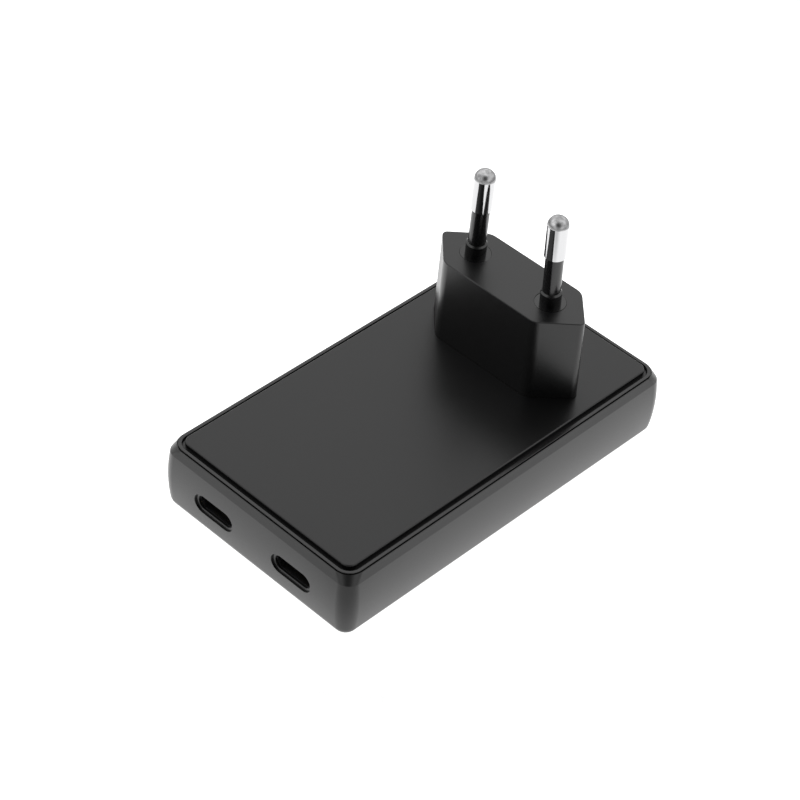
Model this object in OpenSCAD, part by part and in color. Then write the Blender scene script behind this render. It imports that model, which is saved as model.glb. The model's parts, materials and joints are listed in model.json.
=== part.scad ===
// Flat wall charger: a shallow housing with an inset cover, a fixed two-pin plug
// and two USB-C ports. It lies on its outer face with the plug pins pointing up.
// Origin: centre of the outer face. +Z runs along the plug, -Y is the port end.

/* [Body] */
// Height of the housing and cover, from the outer face to the cover's top
body_h = 15; // [15:0.1:20]
// How far the housing's side stands out past the cover's edge at its widest
side_out = 2.5; // [2.3:0.1:4]
// Radius of the gentle bulge of the sides
side_bulge_r = 34; // [24:1:60]
// Radius of the housing's four corners, seen from above, at their widest
side_corner_r = 3; // [2.9:0.1:6]
// Radius of the rounded edge around the outer face
edge_r = 2.2; // [1:0.1:2.4]
// Height of the upper edge of the steep chamfer around the lip
shoulder_z = 14.2; // [13.8:0.1:14.4]
// Slope of the chamfer, in degrees from level
shoulder_slope = 69; // [62:1:70]
// Radius of the turn from the chamfer into the side
shoulder_r = 0.5; // [0.3:0.1:1]
// Thickness of the outer face
floor_t = 1.6; // [1.2:0.1:2]
// Thickness of the side walls at their widest
wall_t = 2.2; // [2.1:0.05:2.3]

/* [Cover] */
// Width of the inset cover
cover_w = 42.2; // [42:0.1:60]
// Length of the inset cover
cover_l = 77; // [76:0.1:110]
// Corner radius of the inset cover
cover_r = 1.8; // [1.4:0.1:3]
// Thickness of the cover's plate
cover_t = 1.8; // [1.4:0.1:2.2]
// Thickness of the flange around the cover's underside
cover_flange_t = 0.7; // [0.5:0.1:0.9]
// Width of the groove between the cover and the lip
groove_w = 0.6; // [0.45:0.05:0.9]
// Width of the lip around the groove
lip_w = 0.65; // [0.5:0.05:0.8]
// How far the cover stands above the lip
cover_proud = 0.55; // [0.1:0.05:0.6]
// Width of the fine notch outside the lip
notch_w = 0.25; // [0.15:0.05:0.3]
// Depth of the notch below the chamfer's upper edge
notch_deep = 0.4; // [0.2:0.1:0.6]
// Diameter of the posts that hold the board down
post_d = 2.2; // [1.6:0.1:2.4]

/* [Plug] */
// Height of the plug's block above the cover
plug_h = 17.4; // [12:0.1:24]
// Half length of the block's top, from its centre to a point
plug_tip = 17.65; // [17:0.05:18]
// Half thickness of the block's top
plug_half = 6.35; // [6.3:0.05:7]
// Half length of the block's long straight sides
plug_flat = 11.2; // [10:0.1:12]
// How much larger the block is at the cover than at its top, on each side
plug_draft = 0.3; // [0:0.05:0.5]
// Radius of the block's four blunt corners
plug_corner_r = 3; // [1:0.1:4]
// Radius of the block's two points
plug_point_r = 1; // [0.5:0.1:1.5]
// Wall thickness of the block
plug_wall = 1.8; // [1.4:0.1:2]
// Thickness of the block's top
plug_top_t = 2.2; // [1.8:0.1:3]
// Distance from the far edge of the cover to the middle of the plug
plug_inset = 16.4; // [16:0.1:18]
// Width of the retaining flange under the cover
plug_flange_w = 1.2; // [0.8:0.1:1.4]
// Thickness of the retaining flange
plug_flange_t = 1; // [0.8:0.1:1.4]
// Thickness of the carrier that holds the pins
carrier_t = 4; // [3:0.1:6]

/* [Pins] */
// Diameter of the bare metal end of a pin
pin_d = 4; // [3.9:0.05:4.1]
// Length of a pin above the plug's block
pin_l = 19; // [16:0.1:20]
// Length of the bare metal end
pin_bare = 8.6; // [7:0.1:12]
// Height of the shallow dome on a pin's end
pin_dome = 1.65; // [0.6:0.05:1.9]
// Distance between the pins at the block's top
pin_gap = 18.42; // [18:0.01:18.8]
// Lean of each pin towards the other, in degrees
pin_lean = 1.45; // [0:0.05:1.5]
// Diameter of a pin's core inside its sleeve
core_d = 2.5; // [2:0.1:2.8]
// Outside diameter of the insulating sleeve
sleeve_d = 3.36; // [3.2:0.02:3.8]
// Diameter of the collar at the foot of the sleeve
collar_d = 3.95; // [3.8:0.05:4.2]
// Height of the collar
collar_h = 2.7; // [1:0.1:4]
// Diameter of the sleeve's flange, which is flush with the block's top
sleeve_flange_d = 5.8; // [5:0.1:7]
// Thickness of the sleeve's flange
sleeve_flange_t = 0.8; // [0.5:0.1:1]
// Diameter of the head that stops the pin from being pulled out
pin_head_d = 5; // [4:0.1:6]
// Thickness of the pin's head
pin_head_t = 1; // [0.6:0.1:1.5]
// Diameter of the pin's tail
pin_tail_d = 2.2; // [1.6:0.1:2.4]
// Length of the pin's tail below its head
pin_tail_l = 2.6; // [2:0.1:4]

/* [USB-C ports] */
// Distance between the middles of the two ports
port_pitch = 19.6; // [19:0.1:22]
// Width of the opening in the housing
port_w = 8.6; // [8.5:0.05:8.8]
// Height of the opening in the housing
port_h = 2.9; // [2.7:0.05:3]
// Width of the recessed rim around the opening
port_rim = 0.58; // [0.3:0.02:0.8]
// Depth of the recessed rim
port_recess = 0.42; // [0.2:0.02:0.6]
// Thickness of the wall that is left in front of the receptacle
port_web = 0.5; // [0.3:0.05:0.8]
// Outside width of the receptacle's shell
shell_w = 8.94; // [8.9:0.01:9]
// Outside height of the receptacle's shell
shell_h = 3.16; // [3.1:0.01:3.26]
// Length of the receptacle
shell_l = 7.35; // [6.5:0.05:9]
// Thickness of the receptacle's sheet metal
shell_t = 0.3; // [0.2:0.01:0.35]
// Width of the tongue
tongue_w = 6.69; // [6.6:0.01:6.7]
// Thickness of the tongue
tongue_t = 0.7; // [0.6:0.01:0.7]
// Distance between neighbouring contacts on the tongue
contact_pitch = 0.5; // [0.5:0.01:0.52]

/* [Board] */
// Height of the board's underside above the inside of the outer face
board_gap = 2.5; // [2.3:0.1:3]
// Thickness of the board
board_t = 1.2; // [1:0.1:1.6]
// Thickness of the heat spreaders
spreader_t = 0.3; // [0.2:0.05:0.4]
// Thickness of the insulating film
film_t = 0.2; // [0.1:0.05:0.25]
// Width of the ribs on the walls
rib_w = 3; // [2:0.1:4]
// Depth of a rib above the board
rib_deep = 1; // [0.6:0.1:1.1]
// Depth of the foot of a rib, which the board lies on
rib_foot = 2.9; // [2.4:0.1:3.4]

/* [Power parts] */
// Diameter of each storage capacitor
bulk_d = 9.8; // [8:0.1:10]
// Length of each storage capacitor
bulk_l = 20; // [16:0.1:21]
// Width of the transformer's core
core_w = 26; // [24:0.1:27]
// Depth of the transformer's core
core_l = 16; // [14:0.1:17]
// Height of the transformer's core
core_h = 7.3; // [6:0.1:7.5]
// Diameter of the core's middle leg
core_leg_d = 9; // [7:0.1:10]
// Diameter of the window around the middle leg
core_window_d = 19; // [17:0.1:20]
// Diameter of each output capacitor
out_cap_d = 6.3; // [5:0.1:6.4]
// Height of each output capacitor
out_cap_h = 7.2; // [5:0.1:7.5]
// Outside diameter of the choke's ring
ring_d = 9.8; // [8:0.1:10]
// Inside diameter of the choke's ring
ring_hole_d = 5.4; // [5:0.1:6]
// Height of the choke's ring
ring_h = 4; // [3:0.1:5]
// Thickness of the wire layer on the choke
ring_wire = 0.8; // [0.5:0.05:0.9]
// Diameter of the leads
lead_d = 0.6; // [0.5:0.05:0.8]

/* [Clearances] */
// Gap between the cover's flange and the housing
cover_clear = 0.1; // [0.05:0.01:0.2]
// Gap around the plug's block where it passes through the cover
plug_clear = 0.04; // [0.02:0.01:0.1]
// Gap around pins, sleeves and leads
fit_clear = 0.05; // [0.03:0.01:0.08]
// Gap around the board and the parts that lie in the housing
loose_clear = 0.2; // [0.1:0.05:0.25]
// Gap between neighbouring parts on the board
part_gap = 0.5; // [0.3:0.1:0.6]

/* [Hidden] */

// Smoothness of round shapes
round_fn = 64;
$fn = round_fn;
// Number of straight steps in a short arc and in the long arc of the side
arc_steps = 9;
side_steps = 8;
turn_steps = 3;
// A small overlap for cuts
cut = 1;

// Heights
seat_z = body_h - cover_t;
lip_z = body_h - cover_proud;
board_z = floor_t + board_gap;
board_top = board_z + board_t;
film_top = floor_t + spreader_t + film_t;
plug_top = body_h + plug_h;
port_z = board_top + shell_h / 2;

// Offsets from the cover's edge, positive outwards
lip_out = groove_w + lip_w;
shoulder_out = lip_out + notch_w;
cavity_out = side_out - wall_t;
flange_out = groove_w - cover_clear;
board_out = cavity_out - rib_deep - loose_clear;
liner_out = cavity_out - rib_foot - loose_clear;

// Half sizes of the board and the middle line of the plug
board_x = cover_w / 2 + board_out;
board_y = cover_l / 2 + board_out;
plug_y = cover_l / 2 - plug_inset;
front_y = cover_l / 2 + side_out;
mouth_y = -front_y + port_recess + port_web + fit_clear;

// ---- helpers ----

function arc_points(c, r, from, to, steps) =
    [for (i = [0:steps]) let (a = from + (to - from) * i / steps) c + r * [cos(a), sin(a)]];

// The corner at point b of an outline, rounded to radius r
function round_corner(a, b, c, r) =
    let (
        u = (a - b) / norm(a - b),
        v = (c - b) / norm(c - b),
        half = acos(u * v) / 2,
        middle = (u + v) / norm(u + v),
        centre = b + middle * r / sin(half),
        first = b + u * r / tan(half) - centre,
        last = b + v * r / tan(half) - centre,
        from = atan2(first.y, first.x),
        turn = atan2(last.y, last.x) - from,
        sweep = turn > 180 ? turn - 360 : turn < -180 ? turn + 360 : turn
    )
    arc_points(centre, r, from, from + sweep, arc_steps);

module rounded_rect(w, l, r) {
    square([w - 2 * r, l], center = true);
    square([w, l - 2 * r], center = true);
    for (x = [-1, 1], y = [-1, 1]) translate([x * (w / 2 - r), y * (l / 2 - r)]) circle(r);
}

// A plate that follows the cover's outline, offset by out
module slab(out, z0, z1) {
    translate([0, 0, z0]) linear_extrude(z1 - z0)
        rounded_rect(cover_w + 2 * out, cover_l + 2 * out, max(cover_r + out, 0.5));
}

// A box on the point at, standing on height z, with its middle at x and y
module block(at, size, z) {
    translate([at.x - size.x / 2, at.y - size.y / 2, z]) cube(size);
}

// A flat-sided slot shape that runs along Y from y0 to y1
module stadium(w, h, y0, y1) {
    translate([0, y1, 0]) rotate([90, 0, 0]) linear_extrude(y1 - y0) {
        square([w - h, h], center = true);
        for (x = [-1, 1]) translate([x * (w - h) / 2, 0]) circle(h / 2);
    }
}

// Two round leads, pitch apart along X, or along Y when along_y is true
module leads(at, pitch, z_top, along_y = false, extra = 0) {
    for (s = [-0.5, 0.5])
        translate(along_y ? [at.x, at.y + s * pitch, board_z - lead_below]
                          : [at.x + s * pitch, at.y, board_z - lead_below])
            cylinder(d = lead_d + 2 * extra, h = z_top - board_z + lead_below);
}
lead_below = 0.9;

// A disc-shaped part that stands on edge, with its face along X or along Y
module standing_disc(at, d, t, along_y) {
    translate([at.x, at.y, board_top + disc_lift + d / 2])
        rotate([0, 0, along_y ? 90 : 0]) rotate([90, 0, 0]) cylinder(d = d, h = t, center = true);
}
disc_lift = 0.3;
disc_pitch = 5;

// ---- housing ----

// Section of the housing's outside below the lip: x from the corner's centre, y up
function side_section() =
    let (
        top = [side_corner_r - side_out + shoulder_out, shoulder_z],
        bulge = [side_corner_r - side_bulge_r, body_h / 2],
        foot_a = asin((body_h / 2 - edge_r) / (side_bulge_r - edge_r)),
        foot = bulge + (side_bulge_r - edge_r) * [cos(foot_a), -sin(foot_a)],
        slope_a = 90 - shoulder_slope,
        across = (bulge - top) * [cos(slope_a), sin(slope_a)],
        reach = side_bulge_r - shoulder_r,
        turn_a = slope_a - acos((-shoulder_r - across) / reach),
        turn = bulge + reach * [cos(turn_a), sin(turn_a)]
    )
    concat(
        [[0, 0]],
        arc_points(foot, edge_r, -90, -foot_a, arc_steps),
        [for (i = [1:side_steps]) let (a = -foot_a + (turn_a + foot_a) * i / side_steps)
            bulge + side_bulge_r * [cos(a), sin(a)]],
        [for (i = [1:turn_steps]) let (a = turn_a + (slope_a - turn_a) * i / turn_steps)
            turn + shoulder_r * [cos(a), sin(a)]],
        [top, [0, shoulder_z]]
    );

// The outside form: a straight run along each side and a turned piece at each corner
module housing_outside() {
    corner_x = cover_w / 2 + side_out - side_corner_r;
    corner_y = cover_l / 2 + side_out - side_corner_r;
    translate([-corner_x, -corner_y, 0]) cube([2 * corner_x, 2 * corner_y, shoulder_z]);
    for (side = [0, 180]) rotate([0, 0, side]) {
        translate([corner_x, corner_y, 0]) rotate_extrude(angle = 90) polygon(side_section());
        translate([-corner_x, corner_y, 0]) rotate([0, 0, 90])
            rotate_extrude(angle = 90) polygon(side_section());
        translate([corner_x, 0, 0]) rotate([90, 0, 0])
            linear_extrude(2 * corner_y, center = true) polygon(side_section());
        translate([0, corner_y, 0]) rotate([90, 0, 90])
            linear_extrude(2 * corner_x, center = true) polygon(side_section());
    }
}

// Ribs along the walls: the cover lies on their tops and the board on their feet
rib_ys = [-board_y + 5.6, -board_y + 23.6, plug_y - 6.1, plug_y + 9.9];
rib_root = 0.4;
module wall_rib(length_to_wall) {
    translate([length_to_wall - rib_deep, -rib_w / 2, floor_t - rib_root])
        cube([rib_deep + rib_root, rib_w, seat_z - floor_t + rib_root]);
    translate([length_to_wall - rib_foot, -rib_w / 2, floor_t - rib_root])
        cube([rib_foot + rib_root, rib_w, board_gap + rib_root]);
}

module ribs() {
    for (y = rib_ys, s = [0, 1]) mirror([s, 0, 0]) translate([0, y, 0])
        wall_rib(cover_w / 2 + cavity_out);
    rotate([0, 0, -90]) wall_rib(cover_l / 2 + cavity_out);
    for (x = [-1, 1]) translate([x * board_x / 2, 0, 0]) rotate([0, 0, 90])
        wall_rib(cover_l / 2 + cavity_out);
}

module port_cut() {
    rim_w = port_w + 2 * port_rim;
    rim_h = port_h + 2 * port_rim;
    stadium(rim_w, rim_h, -front_y - cut, -front_y + port_recess);
    stadium(port_w, port_h, -front_y - cut, mouth_y);
    stadium(shell_w + 2 * loose_clear, shell_h + 2 * loose_clear, mouth_y - fit_clear, mouth_y + shell_l);
}

module housing() {
    color([0.13, 0.13, 0.135]) difference() {
        union() {
            difference() {
                union() {
                    difference() {
                        housing_outside();
                        slab(shoulder_out, shoulder_z - notch_deep, body_h);
                    }
                    slab(lip_out, seat_z, lip_z);
                }
                slab(cavity_out, floor_t, body_h);
                slab(groove_w, seat_z, body_h);
            }
            ribs();
        }
        for (s = [-1, 1]) translate([s * port_pitch / 2, 0, port_z]) port_cut();
    }
}

// ---- cover and plug ----

// Half length, half thickness and half flat of the plug's outline, grown by out
plug_slope = (plug_tip - plug_flat) / plug_half;
plug_edge = sqrt(1 + plug_slope * plug_slope);
function plug_outline(out) =
    let (
        half = plug_half + out,
        tip = plug_tip + out * plug_edge,
        flat = tip - half * plug_slope,
        blunt = max(plug_corner_r + out, 0.5),
        sharp = max(plug_point_r + out, 0.3),
        corners = [[tip, 0], [flat, half], [-flat, half], [-tip, 0], [-flat, -half], [flat, -half]]
    )
    [for (i = [0:5]) each round_corner(corners[(i + 5) % 6], corners[i], corners[(i + 1) % 6],
        i % 3 == 0 ? sharp : blunt)];

module plug_prism(out, z0, z1) {
    translate([0, plug_y, z0]) linear_extrude(z1 - z0) polygon(plug_outline(out));
}

hold_down = [board_x - 1.5, board_y - 1.7];
module cover() {
    color([0.11, 0.11, 0.115]) {
        difference() {
            union() {
                slab(0, seat_z, body_h);
                slab(flange_out, seat_z, seat_z + cover_flange_t);
            }
            plug_prism(plug_draft + plug_clear, seat_z - cut, body_h + cut);
        }
        for (x = [-1, 1], y = [-1, 1]) translate([x * hold_down.x, y * hold_down.y, board_top])
            cylinder(d = post_d, h = seat_z - board_top + cover_t / 2);
    }
}

// Width of the visible ring gap around a sleeve's flange
ring_gap = 0.05;

// Places its children at a pin's foot, with Z along the pin; side is -1 or 1
module at_pin(side) {
    translate([side * pin_gap / 2, plug_y, plug_top]) rotate([0, -side * pin_lean, 0]) children();
}

module plug_block() {
    inside_top = plug_top - plug_top_t;
    flange_z = seat_z - plug_flange_t;
    base = plug_outline(plug_draft);
    shrink = [plug_tip / (plug_tip + plug_draft * plug_edge), plug_half / (plug_half + plug_draft)];
    color([0.11, 0.11, 0.115]) difference() {
        union() {
            plug_prism(plug_draft + plug_flange_w, flange_z, seat_z);
            plug_prism(plug_draft, flange_z, body_h);
            translate([0, plug_y, body_h]) linear_extrude(plug_h, scale = shrink, slices = 1) polygon(base);
        }
        plug_prism(-plug_wall, flange_z - cut, inside_top);
        for (side = [-1, 1]) at_pin(side) {
            translate([0, 0, -sleeve_flange_t - fit_clear])
                cylinder(d = sleeve_flange_d + 2 * ring_gap, h = sleeve_flange_t + cut);
            translate([0, 0, -plug_top_t - cut])
                cylinder(d = sleeve_d + 2 * fit_clear, h = plug_top_t + cut);
        }
    }
}

module pin_carrier() {
    inside_top = plug_top - plug_top_t;
    carrier_z = inside_top - carrier_t;
    color([0.2, 0.2, 0.21]) difference() {
        plug_prism(-plug_wall - loose_clear, carrier_z, inside_top);
        for (side = [-1, 1]) at_pin(side) translate([0, 0, -plug_top_t - carrier_t - cut])
            cylinder(d = core_d + 2 * fit_clear, h = carrier_t + 2 * cut);
        translate([0, plug_y, carrier_z - cut]) cylinder(d = pin_gap / 2, h = carrier_t / 2 + cut);
    }
}

// Depth of a pin's head below the block's top, clear of the carrier all round
head_depth = plug_top_t + carrier_t + pin_head_d / 2 * sin(pin_lean) + fit_clear;
module pin(side) {
    dome_r = (pin_d * pin_d / 4 + pin_dome * pin_dome) / (2 * pin_dome);
    head_z = head_depth + pin_head_t;
    color([0.85, 0.85, 0.86]) at_pin(side) {
        intersection() {
            translate([0, 0, pin_l - dome_r]) sphere(dome_r);
            translate([0, 0, pin_l - pin_bare]) cylinder(d = pin_d, h = pin_bare);
        }
        translate([0, 0, pin_l - pin_bare]) cylinder(d = pin_d, h = pin_bare - pin_dome);
        translate([0, 0, -head_z]) cylinder(d = core_d, h = head_z + pin_l - pin_bare + pin_d / 2);
        translate([0, 0, -head_z]) cylinder(d = pin_head_d, h = pin_head_t);
        translate([0, 0, -head_z - pin_tail_l]) cylinder(d = pin_tail_d, h = pin_tail_l + pin_head_t);
    }
}

module pin_sleeve(side) {
    sleeve_top = pin_l - pin_bare - fit_clear;
    color([0.09, 0.09, 0.095]) at_pin(side) difference() {
        union() {
            translate([0, 0, -plug_top_t + fit_clear])
                cylinder(d = sleeve_d, h = sleeve_top + plug_top_t - fit_clear);
            cylinder(d = collar_d, h = collar_h);
            translate([0, 0, -sleeve_flange_t]) cylinder(d = sleeve_flange_d, h = sleeve_flange_t);
        }
        translate([0, 0, -plug_top_t - cut])
            cylinder(d = core_d + 2 * fit_clear, h = plug_top_t + pin_l + 2 * cut);
    }
}

// A brass strip: an eye around the pin's tail, a drop to the board and a tab through it
strip_t = 0.6;
strip_w = 4;
eye_z = plug_top - head_depth - pin_head_t - pin_tail_l / 2;
eye_x = pin_gap / 2 + (plug_top - eye_z) * sin(pin_lean);
strip_x = eye_x + 2.6;
tab_w = 2;
module contact_strip(side) {
    color([0.8, 0.62, 0.3]) mirror([side < 0 ? 1 : 0, 0, 0]) difference() {
        union() {
            translate([eye_x, plug_y, eye_z]) cylinder(d = strip_w, h = strip_t);
            translate([eye_x, plug_y - strip_w / 2, eye_z])
                cube([strip_x - eye_x + strip_t, strip_w, strip_t]);
            translate([strip_x, plug_y - strip_w / 2, board_top])
                cube([strip_t, strip_w, eye_z - board_top + strip_t]);
            translate([strip_x, plug_y - tab_w / 2, board_z - lead_below])
                cube([strip_t, tab_w, board_t + lead_below + cut]);
        }
        translate([eye_x, plug_y, eye_z - cut])
            cylinder(d = pin_tail_d + 2 * loose_clear, h = strip_t + 2 * cut);
    }
}

// ---- ports ----

leg_w = 0.9;
leg_ys = [3.5, 6.6];
module shell_legs(extra = 0) {
    leg_h = port_z - board_z + lead_below;
    for (s = [-1, 1], y = leg_ys)
        translate([s * (shell_w - shell_t) / 2, mouth_y + y, port_z - leg_h / 2])
            cube([shell_t + 2 * extra, leg_w + 2 * extra, leg_h], center = true);
}

module usb_shell(side) {
    color([0.3, 0.3, 0.31]) translate([side * port_pitch / 2, 0, 0]) {
        translate([0, 0, port_z]) difference() {
            stadium(shell_w, shell_h, mouth_y, mouth_y + shell_l);
            stadium(shell_w - 2 * shell_t, shell_h - 2 * shell_t, mouth_y - cut, mouth_y + shell_l + cut);
        }
        difference() {
            shell_legs();
            translate([0, 0, port_z])
                stadium(shell_w - shell_t, shell_h - shell_t, mouth_y - cut, mouth_y + shell_l + cut);
        }
    }
}

tongue_back = 0.85;
root_l = 2;
module usb_tongue(side) {
    root_w = shell_w - 2 * shell_t - 2 * fit_clear;
    root_h = shell_h - 2 * shell_t - 2 * fit_clear;
    color([0.06, 0.06, 0.06]) translate([side * port_pitch / 2, 0, port_z]) {
        stadium(root_w, root_h, mouth_y + shell_l - root_l, mouth_y + shell_l);
        translate([-tongue_w / 2, mouth_y + tongue_back, -tongue_t / 2])
            cube([tongue_w, shell_l - tongue_back - root_l / 2, tongue_t]);
    }
}

contact_t = 0.08;
contact_w = 0.24;
contact_l = 3.2;
module usb_contacts(side) {
    color([0.85, 0.68, 0.3]) translate([side * port_pitch / 2, mouth_y + tongue_back + contact_t, port_z])
        for (i = [0:11], face = [0, 1]) mirror([0, 0, face])
            translate([(i - 5.5) * contact_pitch - contact_w / 2, 0, tongue_t / 2])
                cube([contact_w, contact_l, contact_t]);
}

// ---- places on the board ----

end_y = plug_y + 8.7;
x_cap_at = [0, end_y];
x_cap_size = [12.6, 10.6, 5.5];
choke_at = [-(board_x - 6.9), end_y - 0.3];
drum_at = [board_x - 6.9, end_y - 0.3];
fuse_at = [-(board_x - 3.6), plug_y - 3.7];
fuse_size = [4, 8.4, 6.6];
thermistor_at = [board_x - 3.4, plug_y - 3.9];
varistor_at = [-6.2, plug_y - 5.1];
y_cap_at = [6.2, plug_y - 5.1];
bridge_at = [0, plug_y];
disc_d = 6.2;
disc_t = 3;

bulk_gap = 0.4;
bulk_y1 = plug_y - 10.8;
bulk_y0 = bulk_y1 - bulk_l;
bulk_x = [-board_x + bulk_d / 2 + bulk_gap, -board_x + 1.5 * bulk_d + 2 * bulk_gap];
bulk_z = film_top + fit_clear + bulk_d / 2;
bulk_lead_y = bulk_y1 + 1.5;
bulk_pitch = 4;
bay_x = -board_x + 2 * bulk_d + 3 * bulk_gap;

strip_mid_x = (bay_x + board_x) / 2;
mid_y = (bulk_y0 + bulk_y1) / 2;
film_cap_at = [strip_mid_x - 2.6, mid_y + 5.2];
film_cap_size = [9.5, 5, 7];
supply_cap_at = [board_x - 3.4, mid_y + 5.2];
supply_cap_d = 5;
supply_cap_h = 7;
opto_at = [board_x - 4.4, mid_y - 6];
opto_size = [6.5, 4.6, 3.4];
switch_at = [strip_mid_x, mid_y - 1.5];
switch_size = [8, 8, 0.9];

inductor_size = [6.2, 5.2, 3];
inductor_at = [port_pitch / 2, mouth_y + shell_l + part_gap + inductor_size.y / 2];
core_at = [0, inductor_at.y + inductor_size.y / 2 + part_gap + core_l / 2];
out_cap_at = [board_x - out_cap_d / 2 - 0.3, core_at.y];
out_cap_step = 3.6;
rectifier_at = [0, -board_y + 8.6];
rectifier_size = [6, 5, 1];
controller_at = [3, -board_y + 7.6];
controller_size = [4, 4, 0.8];

// ---- board and heat parts ----

module lead_holes() {
    c = fit_clear + 0.05;
    top = board_top + cut;
    leads(x_cap_at, x_cap_size.x - 2.6, top, extra = c);
    leads(fuse_at, fuse_size.y - 3.4, top, along_y = true, extra = c);
    leads(thermistor_at, disc_pitch, top, along_y = true, extra = c);
    leads(varistor_at, disc_pitch, top, extra = c);
    leads(y_cap_at, disc_pitch, top, extra = c);
    leads(film_cap_at, film_cap_size.x - 2, top, extra = c);
    leads(supply_cap_at, supply_cap_d / 2, top, extra = c);
    for (x = bulk_x) leads([x, bulk_lead_y], bulk_pitch, top, extra = c);
    for (x = [-1, 1], y = [-1, 1])
        leads([x * out_cap_at.x, out_cap_at.y + y * out_cap_step], out_cap_d / 2 - 0.4, top, extra = c);
}

module main_board() {
    color([0.05, 0.3, 0.17]) difference() {
        slab(board_out, board_z, board_top);
        translate([-board_x - cut, bulk_y0 - bulk_gap, board_z - cut])
            cube([bay_x + board_x + cut, bulk_l + 2 * bulk_gap, board_t + 2 * cut]);
        lead_holes();
        for (side = [-1, 1]) {
            translate([side * port_pitch / 2, 0, 0]) shell_legs(loose_clear);
            translate([side * (strip_x + strip_t / 2), plug_y, board_z])
                cube([strip_t + 2 * loose_clear, tab_w + 2 * loose_clear, 4 * board_t], center = true);
        }
    }
}

module lower_heat_spreader() {
    color([0.72, 0.74, 0.76]) slab(liner_out, floor_t, floor_t + spreader_t);
}

module insulating_film() {
    color([0.9, 0.88, 0.75]) slab(liner_out, floor_t + spreader_t, film_top);
}

pad_margin = 0.8;
module pad_under(at, size) {
    pad = [size.x + pad_margin, size.y + pad_margin, board_z - size.z - film_top];
    block(at, pad, film_top);
}

module thermal_pads() {
    color([0.55, 0.6, 0.68]) {
        pad_under(bridge_at, bridge_size);
        pad_under(switch_at, switch_size);
        pad_under(rectifier_at, rectifier_size);
    }
}

module upper_heat_spreader() {
    end = plug_y - plug_half - plug_draft - plug_flange_w - 3 * loose_clear;
    start = -hold_down.y + post_d;
    color([0.72, 0.74, 0.76]) translate([-board_x, start, seat_z - spreader_t])
        cube([2 * board_x, end - start, spreader_t]);
}

// ---- mains side ----

module fuse() {
    color([0.12, 0.12, 0.13]) block(fuse_at, fuse_size, board_top);
    color([0.8, 0.8, 0.8]) leads(fuse_at, fuse_size.y - 3.4, board_top + cut, along_y = true);
}

module thermistor() {
    color([0.1, 0.25, 0.12]) standing_disc(thermistor_at, disc_d, disc_t, true);
    color([0.8, 0.8, 0.8]) leads(thermistor_at, disc_pitch, board_top + disc_d / 2, along_y = true);
}

module varistor() {
    color([0.1, 0.25, 0.6]) standing_disc(varistor_at, disc_d, disc_t, false);
    color([0.8, 0.8, 0.8]) leads(varistor_at, disc_pitch, board_top + disc_d / 2);
}

module y_capacitor() {
    color([0.15, 0.4, 0.75]) standing_disc(y_cap_at, disc_d, disc_t, false);
    color([0.8, 0.8, 0.8]) leads(y_cap_at, disc_pitch, board_top + disc_d / 2);
}

module x_capacitor() {
    color([0.9, 0.75, 0.15]) block(x_cap_at, x_cap_size, board_top);
    color([0.8, 0.8, 0.8]) leads(x_cap_at, x_cap_size.x - 2.6, board_top + cut);
}

module choke_core() {
    color([0.12, 0.35, 0.2]) translate([choke_at.x, choke_at.y, board_top + ring_wire + fit_clear])
        difference() {
            cylinder(d = ring_d, h = ring_h);
            translate([0, 0, -cut]) cylinder(d = ring_hole_d, h = ring_h + 2 * cut);
        }
}

// Half of the choke: a layer of wire around the ring, over a part of the turn
choke_arc = 140;
module choke_winding(side) {
    inner = [(ring_d - ring_hole_d) / 2 + 2 * fit_clear, ring_h + 2 * fit_clear];
    outer = inner + 2 * [ring_wire, ring_wire];
    color([0.72, 0.38, 0.18]) translate([choke_at.x, choke_at.y, board_top])
        rotate([0, 0, side * 90 - choke_arc / 2]) rotate_extrude(angle = choke_arc)
            translate([ring_hole_d / 2 - ring_wire - fit_clear, 0]) difference() {
                square(outer);
                translate([ring_wire, ring_wire]) square(inner);
            }
}

drum_d = 9;
drum_neck_d = 4;
drum_h = 6.8;
drum_rim = 1.1;
module filter_inductor_core() {
    color([0.25, 0.25, 0.27]) translate([drum_at.x, drum_at.y, board_top]) {
        cylinder(d = drum_d, h = drum_rim);
        cylinder(d = drum_neck_d, h = drum_h);
        translate([0, 0, drum_h - drum_rim]) cylinder(d = drum_d, h = drum_rim);
    }
}

module filter_inductor_winding() {
    color([0.72, 0.38, 0.18]) translate([drum_at.x, drum_at.y, board_top + drum_rim + fit_clear])
        difference() {
            cylinder(d = drum_d - 0.8, h = drum_h - 2 * drum_rim - 2 * fit_clear);
            translate([0, 0, -cut]) cylinder(d = drum_neck_d + 2 * fit_clear, h = drum_h);
        }
}

bridge_size = [6.2, 4.4, 1.4];
module bridge_rectifier() {
    color([0.1, 0.1, 0.1]) block(bridge_at, bridge_size, board_z - bridge_size.z);
}

// A storage capacitor that lies in the board's bay, with its leads bent down to the board
module bulk_capacitor(x) {
    color([0.1, 0.12, 0.2]) translate([x, bulk_y1, bulk_z]) rotate([90, 0, 0])
        cylinder(d = bulk_d, h = bulk_l);
    color([0.8, 0.8, 0.8]) {
        leads([x, bulk_lead_y], bulk_pitch, bulk_z);
        for (s = [-0.5, 0.5]) translate([x + s * bulk_pitch, bulk_lead_y, bulk_z]) {
            sphere(d = lead_d);
            rotate([90, 0, 0]) cylinder(d = lead_d, h = bulk_lead_y - bulk_y1 + cut);
        }
    }
}

module film_capacitor() {
    color([0.55, 0.16, 0.1]) block(film_cap_at, film_cap_size, board_top);
    color([0.8, 0.8, 0.8]) leads(film_cap_at, film_cap_size.x - 2, board_top + cut);
}

module supply_capacitor() {
    color([0.12, 0.12, 0.14]) translate([supply_cap_at.x, supply_cap_at.y, board_top])
        cylinder(d = supply_cap_d, h = supply_cap_h);
    color([0.8, 0.8, 0.8]) leads(supply_cap_at, supply_cap_d / 2, board_top + cut);
}

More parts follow.
